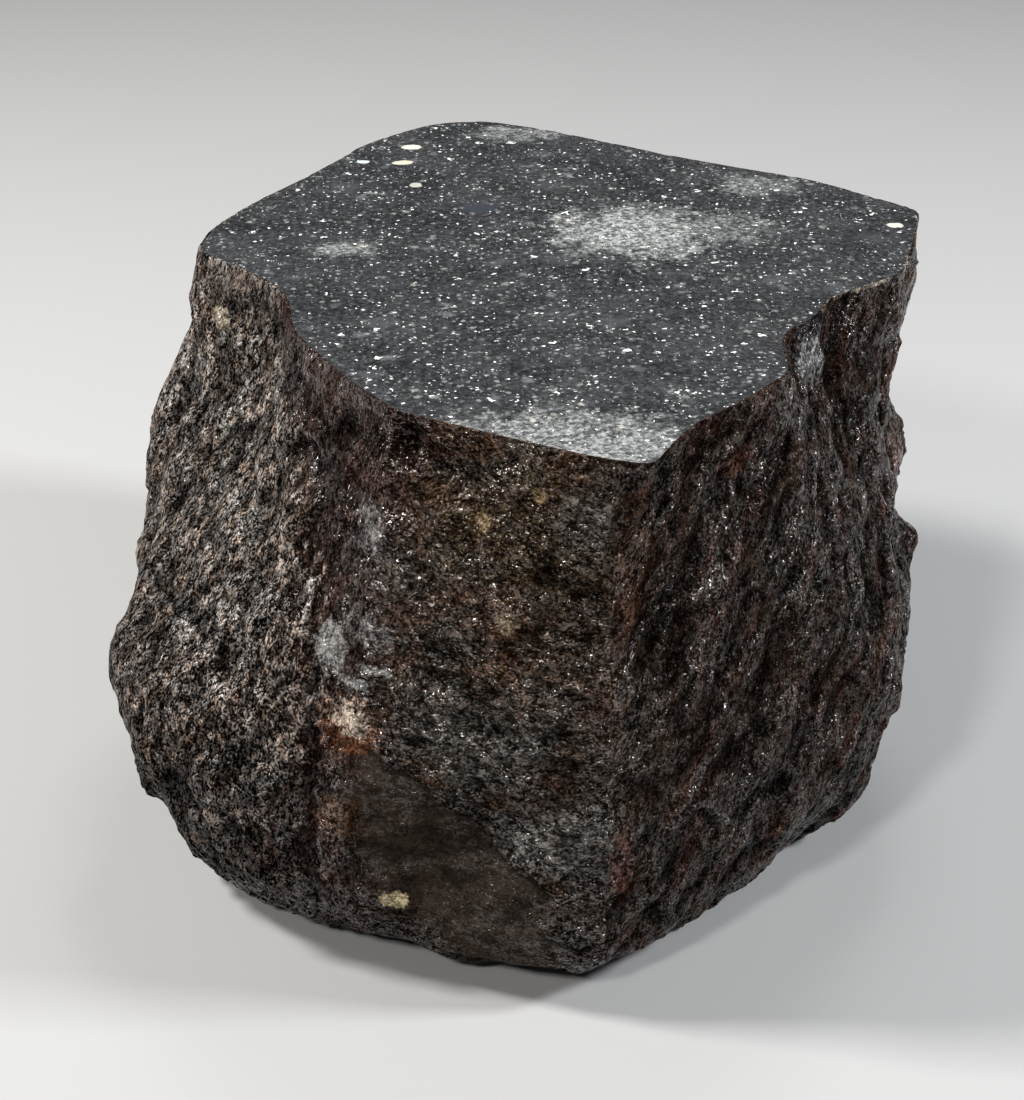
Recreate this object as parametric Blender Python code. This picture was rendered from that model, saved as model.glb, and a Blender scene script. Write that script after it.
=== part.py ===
"""A stone meteorite, broken on its sides and back and sawn flat on its top, as one solid.

The stone stands on a flat underneath, with its sawn face level above it. Its edges run from the sawn
face down to the foot, each through a few points. The sides are spanned between the edges, then dented
and chipped as broken stone is. Sizes are millimetres, and the mesh is in metres. +Z is up, -Y is the
front, and the origin is under the middle of the stone.
"""

import math

import bmesh
import bpy
from mathutils import Vector, noise

MM = 0.001

# Heights above the table
FACE_Z = 112.0
FOOT_Z = 0.0
WIDEST_Z = 42.0

# How the sides are divided
COLUMN_SPACING = 4.5
ROW_SPACING = 3.9
FOOT_ROWS = (9.0, 6.2, 3.8, 1.7)
SMOOTHING_PASSES = 2
NOISE_SEED = 7
LOOSENESS = 0.62  # how far points stray from an even grid, in spacings, so that facets lie freely
LOOSENESS_WIDTH = 3.1

# The upright axis that the sides are measured round, as x and y
AXIS = Vector((6.0, -4.0))

# The edges of the stone, going round from the front by the right. Each runs from the sawn face down
# to the foot through its points. The underside rises towards the back, so the edges there lean in
EDGES = {
    "front": ((23.5, -92, 112), (18.5, -93, 84), (17, -95, 36), (16, -92, 10), (15, -86, 3),
              (13, -76, 0)),
    "front_right": ((31, -76, 112), (32, -80, 84), (34, -85, 36), (33.5, -84, 12), (31, -78, 3),
                    (27, -66, 0)),
    "right_face": ((41, -66, 112), (43, -69, 84), (46, -75, 42), (45.5, -73, 16), (42.5, -66, 4),
                   (37, -56, 0)),
    "notch_front": ((50, -54, 112), (52, -58, 84), (58, -63, 42), (58, -60, 18), (54, -54, 5),
                    (47, -44, 0)),
    "notch_floor": ((50.5, -42, 112), (57, -48, 84), (69, -54, 44), (67.5, -52, 18), (61.5, -48, 6),
                    (54, -42, 0)),
    "notch_back": ((58, -31, 112), (64, -39, 84), (76, -42, 44), (73.5, -43, 18), (67.5, -44, 6),
                   (60, -42, 0)),
    "block_front": ((61, -20, 112), (69, -27, 84), (80.5, -29, 42), (77.5, -32, 20), (73.5, -35, 9),
                    (62, -36, 0)),
    "block_face": ((69, -13.5, 112), (74.5, -17, 84), (83, -13, 48), (82, -20, 34), (75.5, -26, 18),
                   (66, -33, 6), (60, -30, 0)),
    "block_edge": ((77, -7.5, 112), (76, -5, 84), (80, -4, 68), (85, -4, 49), (82, -8, 34),
                   (70, -18, 18), (61.5, -26, 6), (57, -22, 0)),
    "right_side": ((82, 8, 112), (82, 8, 97), (77, 7, 84), (82.5, 6, 68), (81.5, 6, 44), (75, -2, 32),
                   (64, -12, 18), (58, -14, 6), (54, -10, 0)),
    "right": ((86.5, 29, 112), (86, 28, 97), (80, 26, 84), (82.5, 24, 68), (81, 22, 58), (73, 16, 42),
              (60, 4, 20), (54, 4, 6), (49, 6, 0)),
    "back_right": ((67, 48, 112), (70, 50, 84), (66, 45, 62), (57, 35, 42), (48, 26, 20), (37, 25, 0)),
    "back_face": ((39, 63, 112), (42, 68, 84), (40, 65, 62), (34, 55, 40), (29, 47, 20), (20, 40, 0)),
    "back_ledge": ((9, 83, 112), (12, 90, 84), (11, 86, 60), (9, 75, 40), (8, 63, 20), (6, 52, 0)),
    "back": ((-7, 91, 112), (-6, 95, 84), (-6, 93, 60), (-6, 82, 40), (-6, 68, 20), (-6, 54, 0)),
    "back_left": ((-20, 88, 112), (-23, 91, 84), (-24, 87, 60), (-22, 76, 40), (-20, 62, 20),
                  (-17, 50, 0)),
    "left_back_face": ((-34, 73, 112), (-40, 76, 84), (-41, 71, 60), (-37, 61, 40), (-32, 48, 20),
                       (-25, 38, 0)),
    "left_back_ledge": ((-44, 52, 112), (-53, 55, 84), (-56, 50, 60), (-51, 40, 40), (-44, 28, 20),
                        (-35, 20, 0)),
    "left_shoulder": ((-58, 31, 112), (-65, 34, 88), (-70, 31, 68), (-65, 22, 44), (-54, 8, 20),
                      (-43, 2, 0)),
    "left_step": ((-63, 17, 112), (-66, 16, 92), (-72, 14, 84), (-78.5, 11, 72), (-77, 7, 58),
                  (-70, 2, 42), (-61, -10, 20), (-49, -18, 0)),
    "left": ((-64, 6, 112), (-65, 4, 92), (-66, 2, 82), (-74, -4, 68), (-78, -14, 44), (-67, -32, 20),
             (-61.5, -45, 6), (-58, -46, 0)),
    "left_upper": ((-52, -6, 112), (-59, -9, 88), (-71, -17, 66), (-79, -24, 46), (-75.5, -38, 28),
                   (-70, -48, 14), (-63.5, -53, 5), (-60, -51, 0)),
    "left_face": ((-44.5, -16, 112), (-52, -20, 88), (-68, -29, 64), (-80.5, -36, 42), (-78, -47, 28),
                  (-70.5, -53, 16), (-62.5, -56, 5), (-57, -53, 0)),
    "left_front": ((-41, -37, 112), (-46, -40, 88), (-60, -50, 64), (-72.5, -60, 42), (-68, -63, 24),
                   (-62.5, -62.5, 12), (-55.5, -61.5, 4), (-50, -57, 0)),
    "left_low": ((-29, -58, 112), (-33, -61, 88), (-44, -69, 64), (-54, -76, 40), (-52, -77, 20),
                 (-46.5, -75, 8), (-42.5, -72.5, 3), (-38, -65, 0)),
    "front_left": ((-20.5, -71.5, 112), (-23, -76, 88), (-29, -82, 60), (-32, -86, 34), (-30, -85, 14),
                   (-27, -80, 5), (-24, -70, 0)),
    "front_face": ((-2, -81, 112), (-4, -86, 84), (-7, -91, 36), (-7, -90, 12), (-6, -86, 4),
                   (-5, -75, 0)),
    "front_low": ((14, -89, 112), (10, -92, 84), (8, -95, 36), (8, -92, 12), (7, -87, 4), (6, -77, 0)),
}
CRISP = {"front", "notch_front", "notch_back", "block_front", "block_edge", "right", "left",
         "front_left"}

# The sides carry long ridges. Each run of the side has its own lie: from and to which azimuth round
# the axis in degrees, the line that its ridges follow, and how high they stand
RIDGED_SIDES = (
    ("left", 168, 246, Vector((0.1, -0.1, 1.0)), 1.1),
    ("front", 246, 276, Vector((1.0, -0.3, 0.25)), 0.6),
    ("right", 276, 372, Vector((0.38, 0.5, 0.9)), 1.3),
    ("back", 12, 168, Vector((0.3, 0.2, 1.0)), 1.2),
)
SECTOR_BLEND = 8.0  # degrees over which one lie gives way to the next
RIDGE_WIDTH = 8.0
RIDGE_STRETCH = 5.0

# Broken facets: how wide each is, and how far its edge stands out or in. The facets of one size
# share a pattern, and CHIP_BLEND is how softly one gives way to the next, in widths
CHIPS = ((33.0, 3.0), (14.0, 1.5))
CHIP_BLEND = 0.16
CHIP_SEED = 7.31
HALF = Vector((0.5, 0.5, 0.5))
LUMP_WIDTH, LUMP_HEIGHT = 34.0, 1.4
RIM_SHARE = 0.25  # how much of that roughness reaches the sawn edge
RIM_DEPTH = 9.0
FOOT_SHARE = 0.3
FOOT_DEPTH = 8.0

# Single swellings and hollows: centre, radii along x, y and z, and how far each stands out
FEATURES = {
    "knob under the block": (Vector((82, 4, 66)), Vector((9, 11, 5.5)), 3.6),
    "gap above the lobe": (Vector((80, -2, 58)), Vector((10, 11, 4.4)), -3.0),
    "lobe on the right": (Vector((85, -4, 50)), Vector((8, 11, 6)), 1.6),
    "chip in the rim": (Vector((54, -36, 110)), Vector((7, 9, 11)), -3.0),
    "groove under the chip": (Vector((62, -34, 90)), Vector((7, 7, 16)), -3.0),
    "channel in the right face": (Vector((68, -42, 62)), Vector((8, 8, 22)), -3.2),
    "crest down the lobe": (Vector((75, -30, 48)), Vector((8, 10, 18)), 2.0),
    "hollow under the front rim": (Vector((-18, -75, 104)), Vector((7, 8, 6)), -2.6),
    "hollow on the left": (Vector((-50, -22, 94)), Vector((10, 9, 12)), -1.5),
    "knob on the left": (Vector((-81, -36, 42)), Vector((5, 7, 6)), 1.6),
    "knobs low on the front": (Vector((0, -92, 15)), Vector((15, 12, 8)), 1.8),
    "recess low on the front": (Vector((-18, -88, 32)), Vector((16, 12, 12)), -2.4),
    "proud strip beside the front": (Vector((-38, -76, 58)), Vector((7, 9, 20)), 2.2),
    "scoop in the back": (Vector((42, 66, 70)), Vector((20, 14, 20)), -6.0),
    "step in the back": (Vector((-34, 76, 66)), Vector((16, 14, 18)), 4.0),
    "hollow behind the shoulder": (Vector((-62, 40, 52)), Vector((14, 14, 16)), -4.0),
    "hollow low in the back": (Vector((16, 66, 28)), Vector((18, 14, 14)), -4.0),
}

STONE_COLOUR = (0.045, 0.036, 0.031, 1.0)
STONE_ROUGHNESS = 0.55


def clear_scene():
    """Removes whatever the open file holds."""
    for old in list(bpy.data.objects):
        bpy.data.objects.remove(old)


def smooth_step(value):
    """0 below 0, 1 above 1, and an easy curve between."""
    t = min(1.0, max(0.0, value))
    return t * t * (3 - 2 * t)


def slope_at(points, i):
    """How far an edge moves sideways for each millimetre up, at its point i."""
    above = points[max(0, i - 1)]
    below = points[min(len(points) - 1, i + 1)]
    return Vector((above[0] - below[0], above[1] - below[1])) / (above[2] - below[2])


def edge_at(name, z):
    """Where an edge is, as x and y, at height z: a smooth curve through its points."""
    points = EDGES[name]
    i = next(i for i in range(1, len(points)) if z >= points[i][2])
    above, below = points[i - 1], points[i]
    span = above[2] - below[2]
    t = (z - below[2]) / span
    start, end = Vector(below[:2]), Vector(above[:2])
    leave, arrive = slope_at(points, i) * span, slope_at(points, i - 1) * span
    return (start * (2 * t ** 3 - 3 * t ** 2 + 1) + leave * (t ** 3 - 2 * t ** 2 + t)
            + end * (3 * t ** 2 - 2 * t ** 3) + arrive * (t ** 3 - t ** 2))


def column_plan():
    """For each column of the sides: the edge before it, the share of the way to the next, and
    whether it stays crisp."""
    names = list(EDGES)
    plan = []
    for name, following in zip(names, names[1:] + names[:1]):
        span = (edge_at(following, WIDEST_Z) - edge_at(name, WIDEST_Z)).length
        steps = max(2, round(span / COLUMN_SPACING))
        for step in range(steps):
            plan.append((name, following, step / steps, step == 0 and name in CRISP))
    return plan


def ring_at(plan, z):
    """The plain outline of the stone at height z, with its soft corners eased."""
    ring = []
    for name, following, share, _ in plan:
        ring.append(edge_at(name, z).lerp(edge_at(following, z), share))
    for _ in range(SMOOTHING_PASSES):
        eased = []
        for i, (_, _, _, crisp) in enumerate(plan):
            middle = (ring[i - 1] + ring[(i + 1) % len(ring)]) / 2
            eased.append(ring[i] if crisp else ring[i].lerp(middle, 0.5))
        ring = eased
    return ring


def row_heights():
    """The heights of the rows, from the sawn face down to the foot."""
    rows = round((FACE_Z - FOOT_ROWS[0]) / ROW_SPACING)
    upper = [FACE_Z - (FACE_Z - FOOT_ROWS[0]) * row / rows for row in range(rows)]
    return upper + list(FOOT_ROWS) + [FOOT_Z]


def stretched(point, line, factor):
    """The point with its distance along a line shortened, so that a pattern read there runs long."""
    along = line.normalized()
    return point - along * point.dot(along) * (1 - 1 / factor)


def ridges(point):
    """How high the long ridges stand at a point, each run of the side with its own lie."""
    azimuth = math.degrees(math.atan2(point.y - AXIS.y, point.x - AXIS.x)) % 360
    height = 0.0
    for _, start, end, line, strength in RIDGED_SIDES:
        middle, half = (start + end) / 2, (end - start) / 2
        away = abs((azimuth - middle + 180) % 360 - 180)
        share = smooth_step((half - away) / SECTOR_BLEND + 0.5)
        if share:
            height += share * strength * noise.noise(stretched(point, line, RIDGE_STRETCH) / RIDGE_WIDTH)
    return height


def chip(point, width, lean):
    """How far the broken facets of one width stand out at a point. Each facet is one cell of a
    Voronoi pattern, tilted its own way, and joins its neighbours over a narrow strip."""
    here = point / width
    distances, centres = noise.voronoi(here)
    height, total = 0.0, 0.0
    for distance, centre in zip(distances, centres):
        weight = max(0.0, 1 - (distance - distances[0]) / CHIP_BLEND)
        tilt = noise.cell_vector(centre * CHIP_SEED) - HALF
        height += weight * (here - centre).dot(tilt)
        total += weight
    return height / total * 2 * lean


def features(point):
    """How far the single swellings and hollows move a point."""
    moved = 0.0
    for centre, radii, height in FEATURES.values():
        away = point - centre
        spread = (away.x / radii.x) ** 2 + (away.y / radii.y) ** 2 + (away.z / radii.z) ** 2
        moved += height * math.exp(-spread)
    return moved


def roughness(point):
    """How far broken stone stands out of its plain form at a point."""
    rough = LUMP_HEIGHT * noise.noise(point / LUMP_WIDTH) + ridges(point)
    for width, lean in CHIPS:
        rough += chip(point, width, lean)
    rim = smooth_step((FACE_Z - point.z) / RIM_DEPTH)
    foot = smooth_step((point.z - FOOT_Z) / FOOT_DEPTH)
    return rough * (RIM_SHARE + (1 - RIM_SHARE) * rim) * (FOOT_SHARE + (1 - FOOT_SHARE) * foot)


def outward(ring, i):
    """The level direction that faces out of a ring at its point i."""
    along = ring[(i + 1) % len(ring)] - ring[i - 1]
    return Vector((along.y, -along.x)).normalized()


def loosened(rings, plan, row, i):
    """A point of the plain sides near the grid's point i of a row. Points of the sawn face and the
    foot stay level, and crisp edges keep their line."""
    here = rings[row][i]
    if row in (0, len(rings) - 1):
        return here
    stray = noise.noise_vector(here / LOOSENESS_WIDTH) * LOOSENESS
    above_or_below = rings[row - 1 if stray.x > 0 else row + 1][i]
    moved = here.lerp(above_or_below, min(0.5, abs(stray.x)))
    if not plan[i][3]:
        beside = rings[row][i - 1 if stray.y > 0 else (i + 1) % len(plan)]
        moved += (beside - here) * min(0.5, abs(stray.y))
    return moved


def stone_rows():
    """All points of the sides, row by row from the sawn face to the foot."""
    plan = column_plan()
    heights = row_heights()
    plain = [ring_at(plan, z) for z in heights]
    rings = [[Vector((p.x, p.y, z)) for p in ring] for z, ring in zip(heights, plain)]
    rows = []
    for row, ring in enumerate(plain):
        points = []
        for i in range(len(plan)):
            point = loosened(rings, plan, row, i)
            out = outward(ring, i) * (roughness(point) + features(point))
            points.append(Vector((point.x + out.x, point.y + out.y, point.z)))
        rows.append(points)
    return rows


def centred(rows):
    """The rows moved level, so that the middle of their box is over the origin."""
    points = [point for row in rows for point in row]
    middle_x = (min(p.x for p in points) + max(p.x for p in points)) / 2
    middle_y = (min(p.y for p in points) + max(p.y for p in points)) / 2
    print(f"moved by {-middle_x:.2f}, {-middle_y:.2f} mm to stand over the origin")
    return [[Vector((p.x - middle_x, p.y - middle_y, p.z)) for p in row] for row in rows]


def stone_material():
    """The dark weathered stone."""
    material = bpy.data.materials.new("weathered_stone")
    material.use_nodes = True
    shader = material.node_tree.nodes["Principled BSDF"]
    shader.inputs["Base Color"].default_value = STONE_COLOUR
    shader.inputs["Roughness"].default_value = STONE_ROUGHNESS
    shader.inputs["Metallic"].default_value = 0.0
    return material


def make_meteorite():
    """Spans the rows with faces, closes them with the sawn face and the foot, and makes the object."""
    rows = centred(stone_rows())
    bm = bmesh.new()
    grid = [[bm.verts.new(point * MM) for point in row] for row in rows]
    columns = len(grid[0])
    for upper, lower in zip(grid, grid[1:]):
        for i in range(columns):
            j = (i + 1) % columns
            bm.faces.new((upper[i], lower[i], lower[j], upper[j]))
    bm.faces.new(grid[0])
    bm.faces.new(list(reversed(grid[-1])))
    bmesh.ops.recalc_face_normals(bm, faces=bm.faces)
    mesh = bpy.data.meshes.new("meteorite")
    bm.to_mesh(mesh)
    bm.free()
    mesh.materials.append(stone_material())
    stone = bpy.data.objects.new("meteorite", mesh)
    bpy.context.scene.collection.objects.link(stone)
    print(f"{columns} columns, {len(grid)} rows, {len(mesh.polygons)} faces")
    return stone


def main():
    noise.seed_set(NOISE_SEED)
    clear_scene()
    make_meteorite()


main()
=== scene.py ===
# %% [markdown]
# # The sawn end of a stone meteorite
# The piece is one heavy stone, about 17 by 19 by 11 cm. It was broken from a larger stone long
# ago, so its sides are rough and weathered, and one saw cut across it was ground and polished.
# All of its looks come from two things: relief that is really in the mesh, down to about 2 mm,
# and materials that work in millimetres of the stone itself, so that they hold from every side.

# %% Frame
import math

import bmesh
import bpy
import numpy as np
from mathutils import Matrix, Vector


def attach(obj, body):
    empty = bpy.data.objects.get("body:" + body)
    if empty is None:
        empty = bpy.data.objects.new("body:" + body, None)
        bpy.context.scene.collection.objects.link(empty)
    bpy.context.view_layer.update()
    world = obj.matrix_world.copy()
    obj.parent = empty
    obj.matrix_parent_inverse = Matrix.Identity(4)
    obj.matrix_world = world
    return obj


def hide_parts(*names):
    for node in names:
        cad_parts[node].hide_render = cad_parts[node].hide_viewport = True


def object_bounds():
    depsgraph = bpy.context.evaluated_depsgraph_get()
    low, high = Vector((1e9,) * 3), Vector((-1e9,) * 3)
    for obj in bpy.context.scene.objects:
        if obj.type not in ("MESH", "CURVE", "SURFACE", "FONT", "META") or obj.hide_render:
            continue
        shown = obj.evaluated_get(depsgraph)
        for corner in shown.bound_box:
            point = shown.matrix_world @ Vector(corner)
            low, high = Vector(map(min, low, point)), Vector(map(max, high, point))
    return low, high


MM = 0.001
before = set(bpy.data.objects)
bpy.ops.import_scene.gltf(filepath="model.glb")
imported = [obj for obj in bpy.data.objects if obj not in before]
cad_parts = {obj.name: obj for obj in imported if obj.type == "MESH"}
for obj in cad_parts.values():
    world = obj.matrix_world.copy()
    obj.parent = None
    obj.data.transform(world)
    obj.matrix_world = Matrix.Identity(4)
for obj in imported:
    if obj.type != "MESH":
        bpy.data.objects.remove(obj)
cad_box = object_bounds()
scene = bpy.context.scene
print("solid, mm:", [round(side / MM, 1) for side in cad_box[1] - cad_box[0]])

# %% [markdown]
# ## Camera
# The view looks down at the stone by 29 degrees through a longish lens, which is why the sawn
# face is seen so flat and the back of it looks narrower than the front. A 70 mm lens on a 36 mm
# film, 40 cm in front of the stone's middle and 27 cm up, gives the same flattening.

# %% Camera
LENS, FILM = 70.0, 36.0
CAMERA_PLACE = Vector((-2.93, -401.9, 269.0)) * MM
CAMERA_TILT = math.radians(29.0)

camera = bpy.data.objects.new("camera", bpy.data.cameras.new("camera"))
camera.data.lens, camera.data.sensor_width = LENS, FILM
camera.data.clip_start = 0.01
camera.location = CAMERA_PLACE
camera.rotation_euler = (math.pi / 2 - CAMERA_TILT, 0, 0)
scene.collection.objects.link(camera)
scene.camera = camera
print("camera at, mm:", [round(side / MM) for side in camera.location])

# %% [markdown]
# ## Floor and light
# A plain pale floor carries the stone. A soft box high on the left rakes the granular side and
# leaves the front in half shade, a cool box on the right picks small glints out of the varnish,
# and two weaker ones lift the back and the front. The boxes are fairly small, because the
# relief of broken stone is only seen when each grain has its own small shadow.

# %% Floor and light
FLOOR_HALF = 4.0
FLOOR_GREY, FLOOR_ROUGHNESS = (0.36, 0.36, 0.36, 1), 0.9
ROOM_GREY = (0.05, 0.052, 0.055, 1)
LIGHTS = {  # place and aim in metres, size, watts, colour
    "soft box on the left": ((-0.66, 0.02, 0.76), (0, 0, 0.05), 0.16, 13.0, (1.0, 0.98, 0.95)),
    "cool box on the right": ((0.79, -0.10, 0.60), (0, 0, 0.05), 0.14, 11.0, (0.95, 0.97, 1.0)),
    "box behind": ((0.12, 0.50, 0.95), (0, 0, 0.08), 0.25, 3.0, (1.0, 1.0, 1.0)),
    "weak box in front": ((-0.40, -0.75, 0.80), (0, 0, 0.05), 0.13, 6.5, (1.0, 0.98, 0.95)),
}


def add_light(name, place, aim, size, watts, colour):
    """A square soft box at place, turned to face aim."""
    data = bpy.data.lights.new(name, "AREA")
    data.size, data.energy, data.color = size, watts, colour
    light = bpy.data.objects.new(name, data)
    light.location = place
    light.rotation_euler = (Vector(aim) - Vector(place)).to_track_quat("-Z", "Y").to_euler()
    scene.collection.objects.link(light)


for light_name, settings in LIGHTS.items():
    add_light(light_name, *settings)
world = bpy.data.worlds.new("room")
world.use_nodes = True
world.node_tree.nodes["Background"].inputs["Color"].default_value = ROOM_GREY
scene.world = world
scene.view_settings.view_transform = "Standard"

floor_mesh = bpy.data.meshes.new("floor")
far = FLOOR_HALF
floor_mesh.from_pydata([(-far, -far, 0), (far, -far, 0), (far, far, 0), (-far, far, 0)],
                       [], [(0, 1, 2, 3)])
floor = bpy.data.objects.new("floor", floor_mesh)
scene.collection.objects.link(floor)
paint = bpy.data.materials.new("pale floor")
paint.use_nodes = True
paint.node_tree.nodes["Principled BSDF"].inputs["Base Color"].default_value = FLOOR_GREY
paint.node_tree.nodes["Principled BSDF"].inputs["Roughness"].default_value = FLOOR_ROUGHNESS
floor_mesh.materials.append(paint)
print("lights:", len(LIGHTS))

# %% [markdown]
# ## Building node trees
# Both the relief and the materials are node trees, and both measure in millimetres. A few
# short helpers add a node, set its inputs and hand back its result, so that each tree below
# can be read as a list of steps.

# %% Node helpers
def add(tree, kind, inputs=None, **settings):
    """Adds a node, sets its properties, and sets or links its inputs by name or number."""
    made = tree.nodes.new(kind)
    for name, value in settings.items():
        setattr(made, name, value)
    for name, value in (inputs or {}).items():
        if isinstance(value, bpy.types.NodeSocket):
            tree.links.new(value, made.inputs[name])
        else:
            made.inputs[name].default_value = value
    return made


def maths(tree, operation, *values, clamp=False):
    """The result of one sum of numbers."""
    made = add(tree, "ShaderNodeMath", dict(enumerate(values)), operation=operation)
    made.use_clamp = clamp
    return made.outputs[0]


def vectors(tree, operation, *values, scale=None):
    """The result of one sum of vectors."""
    made = add(tree, "ShaderNodeVectorMath", dict(enumerate(values)), operation=operation)
    if scale is not None:
        if isinstance(scale, bpy.types.NodeSocket):
            tree.links.new(scale, made.inputs["Scale"])
        else:
            made.inputs["Scale"].default_value = scale
    return made.outputs["Value" if operation in ("DOT_PRODUCT", "LENGTH") else "Vector"]


def eased(tree, value, low, high, start=0.0, end=1.0):
    """Goes smoothly from start to end while value goes from low to high."""
    made = add(tree, "ShaderNodeMapRange", {"Value": value, "From Min": low, "From Max": high,
                                            "To Min": start, "To Max": end})
    made.interpolation_type = "SMOOTHSTEP"
    return made.outputs["Result"]


def stretched(tree, place, along, times):
    """place pressed together along one direction, so that a pattern on it is drawn out there."""
    along = Vector(along).normalized()
    distance = vectors(tree, "DOT_PRODUCT", place, tuple(along))
    shift = vectors(tree, "SCALE", tuple(along), scale=maths(tree, "MULTIPLY", distance,
                                                             1 - 1 / times))
    return vectors(tree, "SUBTRACT", place, shift)


def bumps(tree, place, width, detail=2.0, roughness=0.5, distortion=0.0, kind="FBM"):
    """Soft noise with bumps about width mm across, between about -1 and 1."""
    made = add(tree, "ShaderNodeTexNoise",
               {"Vector": place, "Scale": 1 / width, "Detail": detail, "Roughness": roughness,
                "Distortion": distortion}, noise_type=kind)
    return maths(tree, "MULTIPLY_ADD", made.outputs[0], 2.0, -1.0)


def flakes(tree, place, width, tilt, soft=0.0):
    """Broken facets about width mm across, each a small plane with its own slope, in mm."""
    cells = vectors(tree, "SCALE", place, scale=1 / width)
    made = add(tree, "ShaderNodeTexVoronoi", {"Vector": cells, "Scale": 1.0},
               feature="SMOOTH_F1" if soft else "F1")
    if soft:
        made.inputs["Smoothness"].default_value = soft
    lean = vectors(tree, "SUBTRACT", made.outputs["Color"], (0.5, 0.5, 0.5))
    away = vectors(tree, "SUBTRACT", cells, made.outputs["Position"])
    return maths(tree, "MULTIPLY", vectors(tree, "DOT_PRODUCT", away, lean), 2 * width * tilt)


def summed(tree, *parts):
    """The sum of several heights, each given with how many millimetres it counts for."""
    total = 0.0
    for value, height in parts:
        total = maths(tree, "MULTIPLY_ADD", value, height, total)
    return total


print("helpers ready")

# %% [markdown]
# ## The stone's mesh
# The solid from the frame has the stone's true form in facets of about 4 mm. A copy of it is
# taken, because the frame's own mesh must stay as it is. Its doubles are merged, and the many
# triangles of the sawn face and of the foot become one flat face each. A narrow band is set in
# along the sawn edge, where a saw cut always breaks away small chips.

# %% Copy of the solid
NODE = "meteorite"
FACE_Z = cad_box[1].z
SAME = 0.00001
CHIPPED_BAND = 0.5 * MM
SIDE, SAWN, BAND, FOOT = range(4)


def one_flat_face(mesh, z):
    """Joins all the faces that lie flat at height z to one."""
    flat = [f for f in mesh.faces if all(abs(v.co.z - z) < SAME for v in f.verts)]
    return bmesh.ops.dissolve_faces(mesh, faces=flat)["region"][0]


def bare_stone():
    """The solid's form, with each face's part of the stone and the sawn edge marked."""
    mesh = bmesh.new()
    mesh.from_mesh(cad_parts[NODE].data)
    bmesh.ops.remove_doubles(mesh, verts=mesh.verts, dist=SAME)
    part = mesh.faces.layers.int.new("part")
    keen = mesh.edges.layers.float.new("keen")
    inner = mesh.verts.layers.float.new("inner")
    foot = one_flat_face(mesh, 0.0)
    foot[part] = FOOT
    sawn = one_flat_face(mesh, FACE_Z)
    sawn[part] = SAWN
    rim = list(sawn.edges)
    band = bmesh.ops.inset_region(mesh, faces=[sawn], thickness=CHIPPED_BAND,
                                  use_even_offset=True)["faces"]
    for face in band:
        face[part] = BAND
    for border in (*rim, *sawn.edges, *foot.edges):
        border[keen] = 1.0
    for corner in sawn.verts:
        corner[inner] = 1.0
    return mesh


shape = bare_stone()
print("coarse stone:", len(shape.faces), "faces")

# %% [markdown]
# ## Where each kind of surface lies
# The left side is granular and grey, the front is scaly and brown, the right side has long
# slanting ridges and is nearly black, and the back is a mixture. Which side a point belongs to
# is its direction round the stone, written on the mesh as a number from 0 to 1 per side, so
# the relief and the materials both use the same soft borders.

# %% Sides
AXIS = Vector((3.0, -3.0)) * MM
BORDER = 7.0  # degrees over which one side gives way to the next
SIDES = {"left_side": (168, 247), "front_side": (247, 277), "right_side": (277, 372)}


def share_of(angle, start, end):
    """How much a direction belongs to the side from start to end, all in degrees."""
    middle, half = (start + end) / 2, (end - start) / 2
    off = abs((angle - middle + 180) % 360 - 180)
    t = min(1.0, max(0.0, (half + BORDER - off) / (2 * BORDER)))
    return t * t * (3 - 2 * t)


for side_name, (start, end) in SIDES.items():
    layer = shape.verts.layers.float.new(side_name)
    for corner in shape.verts:
        reach = corner.co.xy - AXIS
        corner[layer] = share_of(math.degrees(math.atan2(reach.y, reach.x)) % 360, start, end)
stone_mesh = bpy.data.meshes.new("stone")
shape.to_mesh(stone_mesh)
shape.free()
stone = bpy.data.objects.new("stone", stone_mesh)
scene.collection.objects.link(stone)
print("sides:", ", ".join(SIDES))

# %% [markdown]
# ## Relief
# Broken stone is not smooth between its big facets. The relief could be only a bump in the
# material, but then the outline and the exported mesh would be smooth, so it is cut into the
# mesh by Geometry Nodes: two subdivisions, then each point moves along its normal by a height
# made from noise. The left side gets upright ribs and packed grains, the front fine wrinkles,
# the right side long slanting ridges with small chips between.

# %% Relief tree
relief = bpy.data.node_groups.new("stone relief", "GeometryNodeTree")
relief.is_modifier = True
relief.interface.new_socket("Geometry", in_out="OUTPUT", socket_type="NodeSocketGeometry")
relief.interface.new_socket("Geometry", in_out="INPUT", socket_type="NodeSocketGeometry")
RELIEF_INPUTS = {
    "Levels": ("NodeSocketInt", 2),
    "Left height": ("NodeSocketFloat", 1.0),
    "Front height": ("NodeSocketFloat", 1.0),
    "Right height": ("NodeSocketFloat", 1.0),
    "Back height": ("NodeSocketFloat", 1.0),
    "Rim share": ("NodeSocketFloat", 0.3),
    "Rim depth": ("NodeSocketFloat", 7.0),
    "Chip depth": ("NodeSocketFloat", 0.4),
    "Lowest": ("NodeSocketVector", tuple(cad_box[0])),
    "Highest": ("NodeSocketVector", tuple(cad_box[1])),
    "Rind": ("NodeSocketMaterial", None),
    "Sawn face": ("NodeSocketMaterial", None),
}
for name, (kind, value) in RELIEF_INPUTS.items():
    made = relief.interface.new_socket(name, in_out="INPUT", socket_type=kind)
    if value is not None:
        made.default_value = value
given = relief.nodes.new("NodeGroupInput").outputs
print("relief inputs:", len(RELIEF_INPUTS))

# %% [markdown]
# ## Four kinds of break
# Each side's height is the sum of a few patterns, each with its width and its height in
# millimetres. Soft noise gives swells and wrinkles, and cells that each slope their own way
# give broken facets. A pattern pressed together along one direction is drawn out into ribs.

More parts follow.
